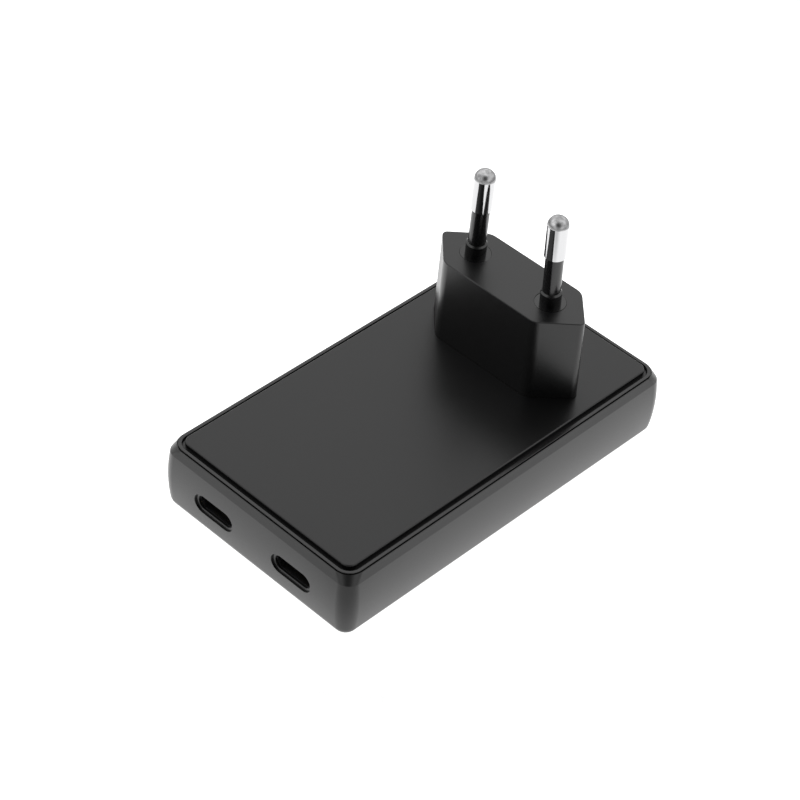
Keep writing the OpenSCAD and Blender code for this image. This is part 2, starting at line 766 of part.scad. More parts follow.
module switch_chip() {
    color([0.08, 0.08, 0.08]) block(switch_at, switch_size, board_z - switch_size.z);
}

// ---- transformer and low-voltage side ----

core_plate = 1.7;
// Half of the core: a plate with a round middle leg and two outer legs
module core_half() {
    leg_h = core_h / 2;
    difference() {
        block(core_at, [core_w, core_l, leg_h], 0);
        translate([core_at.x, core_at.y, core_plate]) difference() {
            union() {
                cylinder(d = core_window_d, h = leg_h);
                block([0, 0], [core_window_d * 0.7, core_l + cut, leg_h], 0);
            }
            translate([0, 0, -cut]) cylinder(d = core_leg_d, h = leg_h + 2 * cut);
        }
    }
}

module transformer_core_lower() {
    color([0.22, 0.22, 0.24]) translate([0, 0, board_top]) core_half();
}

module transformer_core_upper() {
    color([0.22, 0.22, 0.24]) translate([0, 0, board_top + core_h]) mirror([0, 0, 1]) core_half();
}

// A spool around the middle leg with three rims: the primary is wound below, the secondary above
rim_t = 0.3;
spool_wall = 0.4;
window_h = core_h - 2 * core_plate;
spool_h = window_h - 2 * fit_clear;
rim_d = core_window_d - 1;
winding_d = rim_d - 0.8;
module at_spool() {
    translate([core_at.x, core_at.y, board_top + core_plate + fit_clear]) children();
}

module transformer_bobbin() {
    color([0.12, 0.12, 0.13]) at_spool() difference() {
        union() {
            cylinder(d = core_leg_d + 2 * (fit_clear + spool_wall), h = spool_h);
            for (i = [0:2]) translate([0, 0, i * (spool_h - rim_t) / 2]) cylinder(d = rim_d, h = rim_t);
        }
        translate([0, 0, -cut]) cylinder(d = core_leg_d + 2 * fit_clear, h = spool_h + 2 * cut);
    }
}

// One winding between two rims; level is 0 or 1
module spool_winding(level) {
    pitch = (spool_h - rim_t) / 2;
    at_spool() translate([0, 0, level * pitch + rim_t + fit_clear / 2]) difference() {
        cylinder(d = winding_d, h = pitch - rim_t - fit_clear);
        translate([0, 0, -cut])
            cylinder(d = core_leg_d + 2 * spool_wall + 4 * fit_clear, h = spool_h);
    }
}

module transformer_primary() {
    color([0.72, 0.38, 0.18]) spool_winding(0);
}

module transformer_secondary() {
    color([0.85, 0.6, 0.15]) spool_winding(1);
}

module optocoupler() {
    color([0.93, 0.93, 0.9]) block(opto_at, opto_size, board_top);
}

module rectifier_transistor() {
    color([0.08, 0.08, 0.08]) block(rectifier_at, rectifier_size, board_z - rectifier_size.z);
}

module output_capacitors() {
    for (x = [-1, 1], y = [-1, 1]) {
        at = [x * out_cap_at.x, out_cap_at.y + y * out_cap_step];
        color([0.7, 0.72, 0.75]) translate([at.x, at.y, board_top]) cylinder(d = out_cap_d, h = out_cap_h);
        color([0.8, 0.8, 0.8]) leads(at, out_cap_d / 2 - 0.4, board_top + cut);
    }
}

module port_inductor(side) {
    color([0.3, 0.3, 0.31]) block([side * inductor_at.x, inductor_at.y], inductor_size, board_top);
}

module port_controller(side) {
    color([0.08, 0.08, 0.08]) block([side * controller_at.x, controller_at.y], controller_size, board_top);
}

// Rows of small chips on free parts of the board
chip_size = [1.6, 0.8, 0.8];
chip_pitch = 1.6;
module chip_row(from, count, h) {
    for (i = [0:count - 1])
        block([from.x, from.y + i * chip_pitch], [chip_size.x, chip_size.y, h], board_top);
}

module chip_capacitors() {
    color([0.7, 0.58, 0.42]) {
        for (side = [-1, 1]) chip_row([side * 1.1, -board_y + 1.6], 2, chip_size.z);
        chip_row([bay_x + 2.2, mid_y - 8], 5, chip_size.z);
    }
}

module chip_resistors() {
    color([0.1, 0.1, 0.1]) {
        for (side = [-1, 1]) chip_row([side * 3.6, -board_y + 1.6], 2, chip_size.z / 2);
        chip_row([bay_x + 5, mid_y - 8], 5, chip_size.z / 2);
    }
}

housing();
cover();
plug_block();
pin_carrier();
pin(-1);  // pin_left
pin(1);  // pin_right
pin_sleeve(-1);  // pin_sleeve_left
pin_sleeve(1);  // pin_sleeve_right
contact_strip(-1);  // contact_strip_left
contact_strip(1);  // contact_strip_right
usb_shell(-1);  // usb_shell_left
usb_shell(1);  // usb_shell_right
usb_tongue(-1);  // usb_tongue_left
usb_tongue(1);  // usb_tongue_right
usb_contacts(-1);  // usb_contacts_left
usb_contacts(1);  // usb_contacts_right
main_board();
lower_heat_spreader();
insulating_film();
thermal_pads();
upper_heat_spreader();
fuse();
thermistor();
varistor();
x_capacitor();
y_capacitor();
choke_core();
choke_winding(1);  // choke_winding_live
choke_winding(-1);  // choke_winding_neutral
filter_inductor_core();
filter_inductor_winding();
bridge_rectifier();
bulk_capacitor(bulk_x[0]);  // bulk_capacitor_outer
bulk_capacitor(bulk_x[1]);  // bulk_capacitor_inner
film_capacitor();
supply_capacitor();
switch_chip();
optocoupler();
transformer_core_lower();
transformer_core_upper();
transformer_bobbin();
transformer_primary();
transformer_secondary();
rectifier_transistor();
output_capacitors();
port_inductor(-1);  // port_inductor_left
port_inductor(1);  // port_inductor_right
port_controller(-1);  // port_controller_left
port_controller(1);  // port_controller_right
chip_capacitors();
chip_resistors();
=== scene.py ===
"""Looks of a flat wall charger: a satin black housing with an inset cover, a two-pin plug
block and two USB-C openings. It lies on its outer face with the pins up.

Lengths are in millimetres until a mesh is made, which turns them into metres.
"""

import json
import math

import bpy
from mathutils import Matrix, Vector


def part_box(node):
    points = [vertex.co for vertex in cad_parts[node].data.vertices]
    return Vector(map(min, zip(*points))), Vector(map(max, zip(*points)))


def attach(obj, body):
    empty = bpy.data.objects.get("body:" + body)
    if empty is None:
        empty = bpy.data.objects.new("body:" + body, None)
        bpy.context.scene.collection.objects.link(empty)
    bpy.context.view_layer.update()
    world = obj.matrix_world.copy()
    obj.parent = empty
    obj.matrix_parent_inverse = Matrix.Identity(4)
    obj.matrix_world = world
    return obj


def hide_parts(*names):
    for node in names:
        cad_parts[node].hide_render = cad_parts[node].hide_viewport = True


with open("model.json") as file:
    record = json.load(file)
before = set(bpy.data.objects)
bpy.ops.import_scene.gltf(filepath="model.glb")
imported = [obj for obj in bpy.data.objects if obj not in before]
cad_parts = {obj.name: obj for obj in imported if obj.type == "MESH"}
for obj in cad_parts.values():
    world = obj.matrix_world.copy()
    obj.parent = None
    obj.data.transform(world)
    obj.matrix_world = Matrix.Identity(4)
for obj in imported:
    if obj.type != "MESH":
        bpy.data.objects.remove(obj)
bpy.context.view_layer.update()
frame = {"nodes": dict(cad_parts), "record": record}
MM = 0.001


def box_mm(node):
    """Lowest and highest corner of a CAD node, in millimetres."""
    low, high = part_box(node)
    return low / MM, high / MM


# ---- sizes ----

# Housing: the top corner of its box gives the widest outline and the lip's height
body_high = box_mm("housing")[1]
SIDE_OUT = 2.5
BULGE_R = 34
CORNER_R = 3
EDGE_R = 2.2
SHOULDER_Z = 14.2
SHOULDER_SLOPE = 69
SHOULDER_R = 0.5
FLOOR_T = 1.6
GROOVE_W = 0.6
LIP_W = 0.65
NOTCH_W = 0.25
NOTCH_DEEP = 0.4
CAVITY_OUT = 0.3
LIP_FILLET_IN = 0.14
LIP_FILLET_OUT = 0.06
NOTCH_FILLET = 0.06
RIB_W = 3
RIB_DEEP = 1
RIB_FOOT = 2.9
RIB_ROOT = 0.4
RIBS_FROM_BOARD_END = (5.6, 23.6)
RIBS_FROM_PLUG = (-6.1, 9.9)

# Cover: its box includes the flange under its edge
cover_low, cover_high = box_mm("cover")
FLANGE_OUT = 0.5
FLANGE_T = 0.7
COVER_R = 1.8
COVER_T = 1.8
COVER_FILLET = 0.26
POST_D = 2.2
POST_IN = (1.5, 1.7)  # from the board's edges

# Plug block: half sizes of its top, and how much it grows down to the cover
plug_low, plug_high = box_mm("plug_block")
PLUG_TIP = 17.65
PLUG_HALF = 6.35
PLUG_FLAT = 11.2
PLUG_DRAFT = 0.3
PLUG_CORNER_R = 3
PLUG_POINT_R = 1
PLUG_WALL = 1.8
PLUG_TOP_T = 2.2
PLUG_FLANGE_W = 1.2
PLUG_FLANGE_T = 1
PLUG_GAP = 0.04
PLUG_FILLET = 0.18

# Pins and their sleeves, along the pin from the block's top
PIN_R = 2
PIN_L = 19
PIN_BARE = 8.6
PIN_LEAN = 1.45
DOME_H = 1.65
DOME_START = 2  # degrees by which the dome's arc stops short of the pin's side
DOME_SHADE_START = -0.1  # from the dome's foot; the painted shade on the pin's end starts here and is full at the next
DOME_SHADE_FULL = 0.3
PIN_SHARP_ANGLE = 20
METAL_CHAMFER = 0.1
CORE_R = 1.25
HEAD_R = 2.5
HEAD_T = 1
TAIL_R = 1.1
TAIL_L = 2.6
CARRIER_T = 4
SLEEVE_R = 1.68
SLEEVE_CHAMFER = 0.05
COLLAR_R = 1.975
COLLAR_H = 2.7
COLLAR_CHAMFER = 0.3
FLANGE_R = 2.9
FLANGE_DEEP = 0.8
RING_GAP = 0.05
FIT = 0.05

# Openings of the ports
shell_low, shell_high = box_mm("usb_shell_right")
PORT_W = 8.6
PORT_H = 2.9
PORT_RIM = 0.58
PORT_RECESS = 0.42
PORT_FILLET = 0.12
SHELL_W = 8.94
SHELL_H = 3.16
SHELL_L = 7.35
LOOSE = 0.2

# Worked out from the boxes
half_x = body_high.x - SIDE_OUT
half_y = body_high.y - SIDE_OUT
body_mid_z = cover_high.z / 2
lip_z = body_high.z
lip_out = GROOVE_W + LIP_W
shoulder_out = lip_out + NOTCH_W
seat_z = cover_high.z - COVER_T
plug_y = (plug_low.y + plug_high.y) / 2
plug_top = plug_high.z
port_x = (shell_low.x + shell_high.x) / 2
port_z = shell_high.z - SHELL_H / 2
front_y = -body_high.y
mouth_y = shell_low.y

CORNER_STEPS = 16
FILLET_STEPS = 5
BULGE_STEPS = 32
EDGE_STEPS = 12
SHOULDER_STEPS = 4
DOME_STEPS = 16
LATHE_STEPS = 96
CAP_OUT = -8  # the flat faces that close a skin start this far from the outline
CUT = 1  # how far a cutting tool reaches past what it cuts
SMALLEST_R = 0.3  # an outline's corners are never tighter than this
SAME_POINT = 1e-6
SHARP_ANGLE = 32


# ---- mesh helpers ----

def arc(centre, radius, start, end, steps):
    """Points on an arc, angles in degrees."""
    points = []
    for i in range(steps + 1):
        a = math.radians(start + (end - start) * i / steps)
        points.append((centre[0] + radius * math.cos(a), centre[1] + radius * math.sin(a)))
    return points


def make_object(name, points, faces):
    """A mesh object from points in millimetres."""
    mesh = bpy.data.meshes.new(name)
    mesh.from_pydata([Vector(p) * MM for p in points], [], faces)
    mesh.validate()
    piece = bpy.data.objects.new(name, mesh)
    bpy.context.scene.collection.objects.link(piece)
    return piece


def skin(name, rings):
    """Joins rings of equally many points into one closed surface, with a flat face at each end."""
    count = len(rings[0])
    points = [p for ring in rings for p in ring]
    faces = []
    for k in range(len(rings) - 1):
        a, b = k * count, (k + 1) * count
        for i in range(count):
            j = (i + 1) % count
            faces.append((a + i, a + j, b + j, b + i))
    faces.append(tuple(reversed(range(count))))
    faces.append(tuple(range(len(points) - count, len(points))))
    return make_object(name, points, faces)


def lathe(name, profile):
    """Turns a closed profile of (radius, height) points about Z; points on the axis become one point."""
    points, rows = [], []
    for radius, z in profile:
        if radius < SAME_POINT:
            rows.append([len(points)] * LATHE_STEPS)
            points.append((0, 0, z))
        else:
            rows.append([len(points) + i for i in range(LATHE_STEPS)])
            turns = [2 * math.pi * i / LATHE_STEPS for i in range(LATHE_STEPS)]
            points += [(radius * math.cos(turn), radius * math.sin(turn), z) for turn in turns]
    faces = []
    for k, row in enumerate(rows):
        above = rows[(k + 1) % len(rows)]
        for i in range(LATHE_STEPS):
            j = (i + 1) % LATHE_STEPS
            face = list(dict.fromkeys((row[i], row[j], above[j], above[i])))
            if len(face) > 2:
                faces.append(face)
    return make_object(name, points, faces)


def cut(piece, tool, operation="DIFFERENCE"):
    """Applies an exact boolean to piece and throws the tool away."""
    modifier = piece.modifiers.new("cut", "BOOLEAN")
    modifier.object = tool
    modifier.operation = operation
    modifier.solver = "EXACT"
    graph = bpy.context.evaluated_depsgraph_get()
    mesh = bpy.data.meshes.new_from_object(piece.evaluated_get(graph))
    piece.modifiers.clear()
    old = piece.data
    piece.data = mesh
    bpy.data.meshes.remove(old)
    bpy.data.objects.remove(tool)
    return piece


def finish_piece(piece, slot, *nodes, sharp=SHARP_ANGLE):
    """Shades a piece with its sharp edges kept, gives it its material and ties it to the frame."""
    piece.data.shade_smooth()
    piece.data.set_sharp_from_angle(angle=math.radians(sharp))
    weighted = piece.modifiers.new("weighted normals", "WEIGHTED_NORMAL")
    weighted.keep_sharp = True
    piece.data.materials.clear()
    piece.data.materials.append(materials[slot])
    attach(piece, "root")
    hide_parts(*nodes)


def rect_ring(out, z, corner_r=COVER_R):
    """The cover's outline, offset by out, at height z; corner_r is the corner radius where out is 0."""
    radius = max(corner_r + out, SMALLEST_R)
    cx, cy = half_x + out - radius, half_y + out - radius
    ring = []
    for sx, sy, start in ((1, 1, 0), (-1, 1, 90), (-1, -1, 180), (1, -1, 270)):
        for x, y in arc((sx * cx, sy * cy), radius, start, start + 90, CORNER_STEPS):
            ring.append((x, y, z))
    return ring


def stadium_ring(width, height, y):
    """A slot outline in the plane across Y, around the port's middle."""
    radius = height / 2
    reach = width / 2 - radius
    ring = []
    for side, start in ((1, 90), (-1, -90)):
        for x, z in arc((side * reach, 0), radius, start, start - 180, CORNER_STEPS):
            ring.append((x, y, z))
    return ring


def cube_tool(low, high):
    """A plain box, used only to cut or join."""
    points = [(x, y, z) for x in (low[0], high[0]) for y in (low[1], high[1]) for z in (low[2], high[2])]
    faces = [(0, 1, 3, 2), (4, 6, 7, 5), (0, 4, 5, 1), (2, 3, 7, 6), (0, 2, 6, 4), (1, 5, 7, 3)]
    return make_object("tool", points, faces)


# ---- housing ----

def side_profile():
    """Outside of the housing from its outer face up to the chamfer's upper edge, as (offset, height)."""
    # The bulge is one large arc; a smaller arc runs into it at the foot, another turns it into the chamfer
    bulge = (SIDE_OUT - BULGE_R, body_mid_z)
    foot_a = math.degrees(math.asin((body_mid_z - EDGE_R) / (BULGE_R - EDGE_R)))
    reach = BULGE_R - EDGE_R
    foot = (
        bulge[0] + reach * math.cos(math.radians(foot_a)),
        bulge[1] - reach * math.sin(math.radians(foot_a)),
    )
    slope_a = math.radians(90 - SHOULDER_SLOPE)
    across = (bulge[0] - shoulder_out) * math.cos(slope_a) + (bulge[1] - SHOULDER_Z) * math.sin(slope_a)
    reach = BULGE_R - SHOULDER_R
    turn_a = slope_a - math.acos((-SHOULDER_R - across) / reach)
    turn = (bulge[0] + reach * math.cos(turn_a), bulge[1] + reach * math.sin(turn_a))
    slope_a, turn_a = math.degrees(slope_a), math.degrees(turn_a)
    return (
        arc(foot, EDGE_R, -90, -foot_a, EDGE_STEPS)
        + arc(bulge, BULGE_R, -foot_a, turn_a, BULGE_STEPS)[1:]
        + arc(turn, SHOULDER_R, turn_a, slope_a, SHOULDER_STEPS)[1:]
    )


def outside_rings():
    """The housing's outside: its corners are tighter than the lip's, and open out at the chamfer's top."""
    side = side_profile()
    rings = [rect_ring(CAP_OUT, 0, CORNER_R - SIDE_OUT)]
    rings += [rect_ring(out, z, CORNER_R - SIDE_OUT) for out, z in side]
    rings.append(rect_ring(shoulder_out + NOTCH_FILLET / 2, SHOULDER_Z - NOTCH_FILLET))
    return rings


def housing_profile():
    """The rest of the section, as (offset, height): the notch, the lip, the groove and the inside."""
    notch_z = SHOULDER_Z - NOTCH_DEEP
    notch_out = shoulder_out - NOTCH_FILLET
    outer, inner = LIP_FILLET_OUT, LIP_FILLET_IN
    return (
        [(notch_out, SHOULDER_Z), (notch_out, notch_z), (lip_out, notch_z)]
        + arc((lip_out - outer, lip_z - outer), outer, 0, 90, FILLET_STEPS)
        + arc((GROOVE_W + inner, lip_z - inner), inner, 90, 180, FILLET_STEPS)
        + [(GROOVE_W, seat_z), (CAVITY_OUT, seat_z), (CAVITY_OUT, FLOOR_T), (CAP_OUT, FLOOR_T)]
    )


def rib_boxes():
    """Low and high corners of the ribs on the walls, each with the foot that the board lies on."""
    board_low, board_high = box_mm("main_board")
    wall_x, wall_y = half_x + CAVITY_OUT, half_y + CAVITY_OUT
    along = [board_low.y + y for y in RIBS_FROM_BOARD_END] + [plug_y + y for y in RIBS_FROM_PLUG]
    ribs = []
    for depth, top in ((RIB_DEEP, seat_z), (RIB_FOOT, board_low.z)):
        for y in along:
            for s in (-1, 1):
                x0, x1 = sorted((s * (wall_x - depth), s * (wall_x + RIB_ROOT)))
                ribs.append(((x0, y - RIB_W / 2, FLOOR_T - RIB_ROOT), (x1, y + RIB_W / 2, top)))
        for x, s in ((0, -1), (-board_high.x / 2, 1), (board_high.x / 2, 1)):
            y0, y1 = sorted((s * (wall_y - depth), s * (wall_y + RIB_ROOT)))
            ribs.append(((x - RIB_W / 2, y0, FLOOR_T - RIB_ROOT), (x + RIB_W / 2, y1, top)))
    return ribs


def port_tool(side):
    """Cuts a rim with a softened edge, the opening, and the seat of the receptacle."""
    rim_w, rim_h = PORT_W + 2 * PORT_RIM, PORT_H + 2 * PORT_RIM
    f = PORT_FILLET
    flare = [(f + CUT, -CUT)] + [(f - x, y) for x, y in arc((0, f), f, -90, 0, FILLET_STEPS)]
    profile = [(rim_w + 2 * grow, rim_h + 2 * grow, front_y + y) for grow, y in flare]
    profile += [
        (rim_w, rim_h, front_y + PORT_RECESS),
        (PORT_W + 2 * f, PORT_H + 2 * f, front_y + PORT_RECESS),
        (PORT_W, PORT_H, front_y + PORT_RECESS + f),
        (PORT_W, PORT_H, mouth_y - FIT),
        (SHELL_W + 2 * LOOSE, SHELL_H + 2 * LOOSE, mouth_y - FIT),
        (SHELL_W + 2 * LOOSE, SHELL_H + 2 * LOOSE, mouth_y + SHELL_L),
    ]
    tool = skin("tool", [stadium_ring(*step) for step in profile])
    tool.data.transform(Matrix.Translation(Vector((side * port_x, 0, port_z)) * MM))
    return tool


def build_housing():
    rings = outside_rings() + [rect_ring(out, z) for out, z in housing_profile()]
    housing = skin("housing_shell", rings)
    for low, high in rib_boxes():
        cut(housing, cube_tool(low, high), "UNION")
    for side in (-1, 1):
        cut(housing, port_tool(side))
    finish_piece(housing, "housing_plastic", "housing")


# ---- cover and plug block ----

def corner_arc(before, corner, after, radius):
    """The points of a rounded corner of an outline."""
    u = (before - corner).normalized()
    v = (after - corner).normalized()
    half = u.angle(v) / 2
    centre = corner + (u + v).normalized() * radius / math.sin(half)
    first = corner + u * radius / math.tan(half) - centre
    last = corner + v * radius / math.tan(half) - centre
    start = math.degrees(math.atan2(first.y, first.x))
    sweep = (math.degrees(math.atan2(last.y, last.x)) - start + 180) % 360 - 180
    return arc(centre, radius, start, start + sweep, CORNER_STEPS)


def plug_ring(out, z):
    """The plug's flattened hexagon, grown by out, at height z."""
    slope = (PLUG_TIP - PLUG_FLAT) / PLUG_HALF
    half = PLUG_HALF + out
    tip = PLUG_TIP + out * math.hypot(1, slope)
    flat = tip - half * slope
    corners = [Vector(c) for c in
               ((tip, 0), (flat, half), (-flat, half), (-tip, 0), (-flat, -half), (flat, -half))]
    ring = []
    for i, corner in enumerate(corners):
        radius = (PLUG_POINT_R if i % 3 == 0 else PLUG_CORNER_R) + out
        after = corners[(i + 1) % len(corners)]
        ring += corner_arc(corners[i - 1], corner, after, max(radius, SMALLEST_R))
    return [(x, y + plug_y, z) for x, y in ring]


def build_cover():
    f = COVER_FILLET
    top = cover_high.z
    flange_top = seat_z + FLANGE_T
    profile = [(CAP_OUT, seat_z), (FLANGE_OUT, seat_z), (FLANGE_OUT, flange_top), (0, flange_top)]
    profile += arc((-f, top - f), f, 0, 90, FILLET_STEPS)
    profile.append((CAP_OUT, top))
    cover = skin("cover_plate", [rect_ring(out, z) for out, z in profile])
    hole = PLUG_DRAFT + PLUG_GAP
    cut(cover, skin("tool", [plug_ring(hole, seat_z - CUT), plug_ring(hole, top + CUT)]))
    board_high = box_mm("main_board")[1]
    for sx in (-1, 1):
        for sy in (-1, 1):
            at = (sx * (board_high.x - POST_IN[0]), sy * (board_high.y - POST_IN[1]), 0)
            post = lathe("tool", [(0, cover_low.z), (POST_D / 2, cover_low.z), (POST_D / 2, seat_z + CUT),
                                  (0, seat_z + CUT)])
            post.data.transform(Matrix.Translation(Vector(at) * MM))
            cut(cover, post, "UNION")
    finish_piece(cover, "cover_plastic", "cover")


def pin_frame(side):
    """Puts a mesh made about Z onto a pin, with its foot at the block's top; side is left or right."""
    mount = next(m for m in frame["record"]["mounts"] if m["name"] == "pin_" + side)
    axis = Vector(mount["axis"]).normalized()
    position = Vector(mount["pos_m"])
    foot = position - axis * (position.z - plug_top * MM) / axis.z
    return Matrix.Translation(foot) @ Vector((0, 0, 1)).rotation_difference(axis).to_matrix().to_4x4()


def build_plug_block():
    f = PLUG_FILLET
    inside_top = plug_top - PLUG_TOP_T
    flange_z = seat_z - PLUG_FLANGE_T
    profile = [
        (-PLUG_WALL, inside_top),
        (-PLUG_WALL, flange_z),
        (PLUG_DRAFT + PLUG_FLANGE_W, flange_z),
        (PLUG_DRAFT + PLUG_FLANGE_W, seat_z),
        (PLUG_DRAFT, seat_z),
        (PLUG_DRAFT, cover_high.z),
    ]
    profile += arc((-f, plug_top - f), f, 0, 90, FILLET_STEPS)
    block = skin("plug_body", [plug_ring(out, z) for out, z in profile])
    for side in ("left", "right"):
        bore = SLEEVE_R + FIT
        ring = FLANGE_R + RING_GAP
        tool = lathe("tool", [(0, -PLUG_TOP_T - CUT), (bore, -PLUG_TOP_T - CUT), (bore, -FLANGE_DEEP - FIT),
                              (ring, -FLANGE_DEEP - FIT), (ring, CUT), (0, CUT)])
        tool.data.transform(pin_frame(side))
        cut(block, tool)
    finish_piece(block, "plug_plastic", "plug_block")


def build_pin(side):
    head_top = -(PLUG_TOP_T + CARRIER_T + HEAD_R * math.sin(math.radians(PIN_LEAN)) + FIT)
    head_low = head_top - HEAD_T
    metal_low = PIN_L - PIN_BARE
    base_z = PIN_L - DOME_H
    dome_r = (PIN_R**2 + DOME_H**2) / (2 * DOME_H)
    dome_a = math.degrees(math.acos(PIN_R / dome_r))
    chamfer = METAL_CHAMFER
    profile = [
        (0, head_low - TAIL_L), (TAIL_R - chamfer, head_low - TAIL_L), (TAIL_R, head_low - TAIL_L + chamfer),
        (TAIL_R, head_low), (HEAD_R, head_low), (HEAD_R, head_top), (CORE_R, head_top),
        (CORE_R, metal_low), (PIN_R - chamfer, metal_low), (PIN_R, metal_low + chamfer),
        (PIN_R, base_z - chamfer), (PIN_R - chamfer / 2, base_z),
    ]
    profile += arc((0, PIN_L - dome_r), dome_r, dome_a + DOME_START, 90, DOME_STEPS)
    pin = lathe("pin_body_" + side, [(max(r, 0), z) for r, z in profile])
    pin.data.transform(pin_frame(side))
    finish_piece(pin, "pin_metal", "pin_" + side, sharp=PIN_SHARP_ANGLE)


def build_sleeve(side):
    top = PIN_L - PIN_BARE - FIT
    inner = CORE_R + FIT
    profile = [
        (inner, -PLUG_TOP_T + FIT), (SLEEVE_R, -PLUG_TOP_T + FIT), (SLEEVE_R, -FLANGE_DEEP),
        (FLANGE_R, -FLANGE_DEEP), (FLANGE_R, 0), (COLLAR_R, 0),
        (COLLAR_R, COLLAR_H - COLLAR_CHAMFER), (SLEEVE_R, COLLAR_H),
        (SLEEVE_R, top - SLEEVE_CHAMFER), (SLEEVE_R - SLEEVE_CHAMFER, top), (inner, top),
    ]
    sleeve = lathe("sleeve_tube_" + side, profile)
    sleeve.data.transform(pin_frame(side))
    finish_piece(sleeve, "sleeve_plastic", "pin_sleeve_" + side)


# ---- materials ----

def new_material(name, colour, roughness, metallic=0.0, ior=1.5, specular=0.5):
    """A material and its nodes; what is constant over the surface sits on the shader's own sockets."""
    material = bpy.data.materials.new(name)
    material.use_nodes = True
    tree = material.node_tree
    shader = tree.nodes["Principled BSDF"]
    shader.inputs["Base Color"].default_value = (*colour, 1)
    shader.inputs["Roughness"].default_value = roughness
    shader.inputs["Metallic"].default_value = metallic
    shader.inputs["IOR"].default_value = ior
    shader.inputs["Specular IOR Level"].default_value = specular
    return material, tree, shader


def texture(tree, kind, scale, stretch=(1, 1, 1), **values):
    """A texture node in object coordinates, scaled per metre."""
    place = tree.nodes.new("ShaderNodeTexCoord")
    mapping = tree.nodes.new("ShaderNodeMapping")
    mapping.inputs["Scale"].default_value = stretch
    node = tree.nodes.new(kind)
    node.inputs["Scale"].default_value = scale
    for key, value in values.items():
        node.inputs[key].default_value = value
    tree.links.new(place.outputs["Object"], mapping.inputs["Vector"])
    tree.links.new(mapping.outputs["Vector"], node.inputs["Vector"])
    return node


def map_range(tree, source, low, high, start, end, smooth=True):
    """Maps a value from low..high to start..end, held level outside."""
    span = tree.nodes.new("ShaderNodeMapRange")
    span.interpolation_type = "SMOOTHSTEP" if smooth else "LINEAR"
    for name, value in (("From Min", low), ("From Max", high), ("To Min", start), ("To Max", end)):
        span.inputs[name].default_value = value
    tree.links.new(source, span.inputs["Value"])
    return span.outputs["Result"]


def math_node(tree, operation, *values):
    """A math node on sockets or numbers."""
    node = tree.nodes.new("ShaderNodeMath")
    node.operation = operation
    for socket, value in zip(node.inputs, values):
        if isinstance(value, (int, float)):
            socket.default_value = value
        else:
            tree.links.new(value, socket)
    return node.outputs["Value"]


def vary_colour(tree, shader, source, dark, light):
    """Lets a value of 0 to 1 mix two colours."""
    ramp = tree.nodes.new("ShaderNodeValToRGB")
    ramp.color_ramp.elements[0].color = (*dark, 1)
    ramp.color_ramp.elements[1].color = (*light, 1)
    tree.links.new(source, ramp.inputs["Fac"])
    tree.links.new(ramp.outputs["Color"], shader.inputs["Base Color"])
    return ramp


def vary_roughness(tree, shader, source, low, high):
    """Lets a value of 0 to 1 set the roughness between low and high."""
    tree.links.new(map_range(tree, source, 0, 1, low, high, smooth=False), shader.inputs["Roughness"])


def add_bump(tree, shader, node, output, depth, strength=1.0):
    """Raises the surface by depth, in metres, where the texture is bright."""
    bump = tree.nodes.new("ShaderNodeBump")
    bump.inputs["Distance"].default_value = depth
    bump.inputs["Strength"].default_value = strength
    before = shader.inputs["Normal"].links
    if before:
        tree.links.new(before[0].from_socket, bump.inputs["Normal"])
    tree.links.new(node.outputs[output], bump.inputs["Height"])
    tree.links.new(bump.outputs["Normal"], shader.inputs["Normal"])


def moulded_black(name, colour, roughness, grain_depth, specular=0.5):
    """Satin black plastic from a spark-eroded mould: a fine even grain with faint soft patches."""
    material, tree, shader = new_material(name, colour, roughness, specular=specular)
    grain = texture(tree, "ShaderNodeTexNoise", 5200, Detail=3.0, Roughness=0.6)
    patches = texture(tree, "ShaderNodeTexNoise", 90, Detail=4.0, Roughness=0.55)
    lighter = tuple(1.5 * c for c in colour)
    vary_colour(tree, shader, patches.outputs["Fac"], colour, lighter)
    vary_roughness(tree, shader, patches.outputs["Fac"], roughness - 0.04, roughness + 0.04)
    add_bump(tree, shader, grain, "Fac", grain_depth)
    return material


def gloss_black(name, colour, roughness):
    """Smooth black plastic with faint rubbing marks."""
    material, tree, shader = new_material(name, colour, roughness)
    rub = texture(tree, "ShaderNodeTexNoise", 700, stretch=(1, 1, 0.2), Detail=3.0)
    vary_roughness(tree, shader, rub.outputs["Fac"], roughness - 0.05, roughness + 0.08)
    vary_colour(tree, shader, rub.outputs["Fac"], colour, tuple(1.6 * c for c in colour))
    return material


def plated(name, colour, roughness, scratch):
    """Polished plating with very fine lengthwise scratches."""
    material, tree, shader = new_material(name, colour, roughness, metallic=1.0)
    marks = texture(tree, "ShaderNodeTexNoise", 2600, stretch=(1, 1, 0.05), Detail=4.0)
    vary_roughness(tree, shader, marks.outputs["Fac"], roughness * 0.6, roughness * 1.5)
    vary_colour(tree, shader, marks.outputs["Fac"], tuple(0.93 * c for c in colour), colour)
    add_bump(tree, shader, marks, "Fac", scratch)
    return material


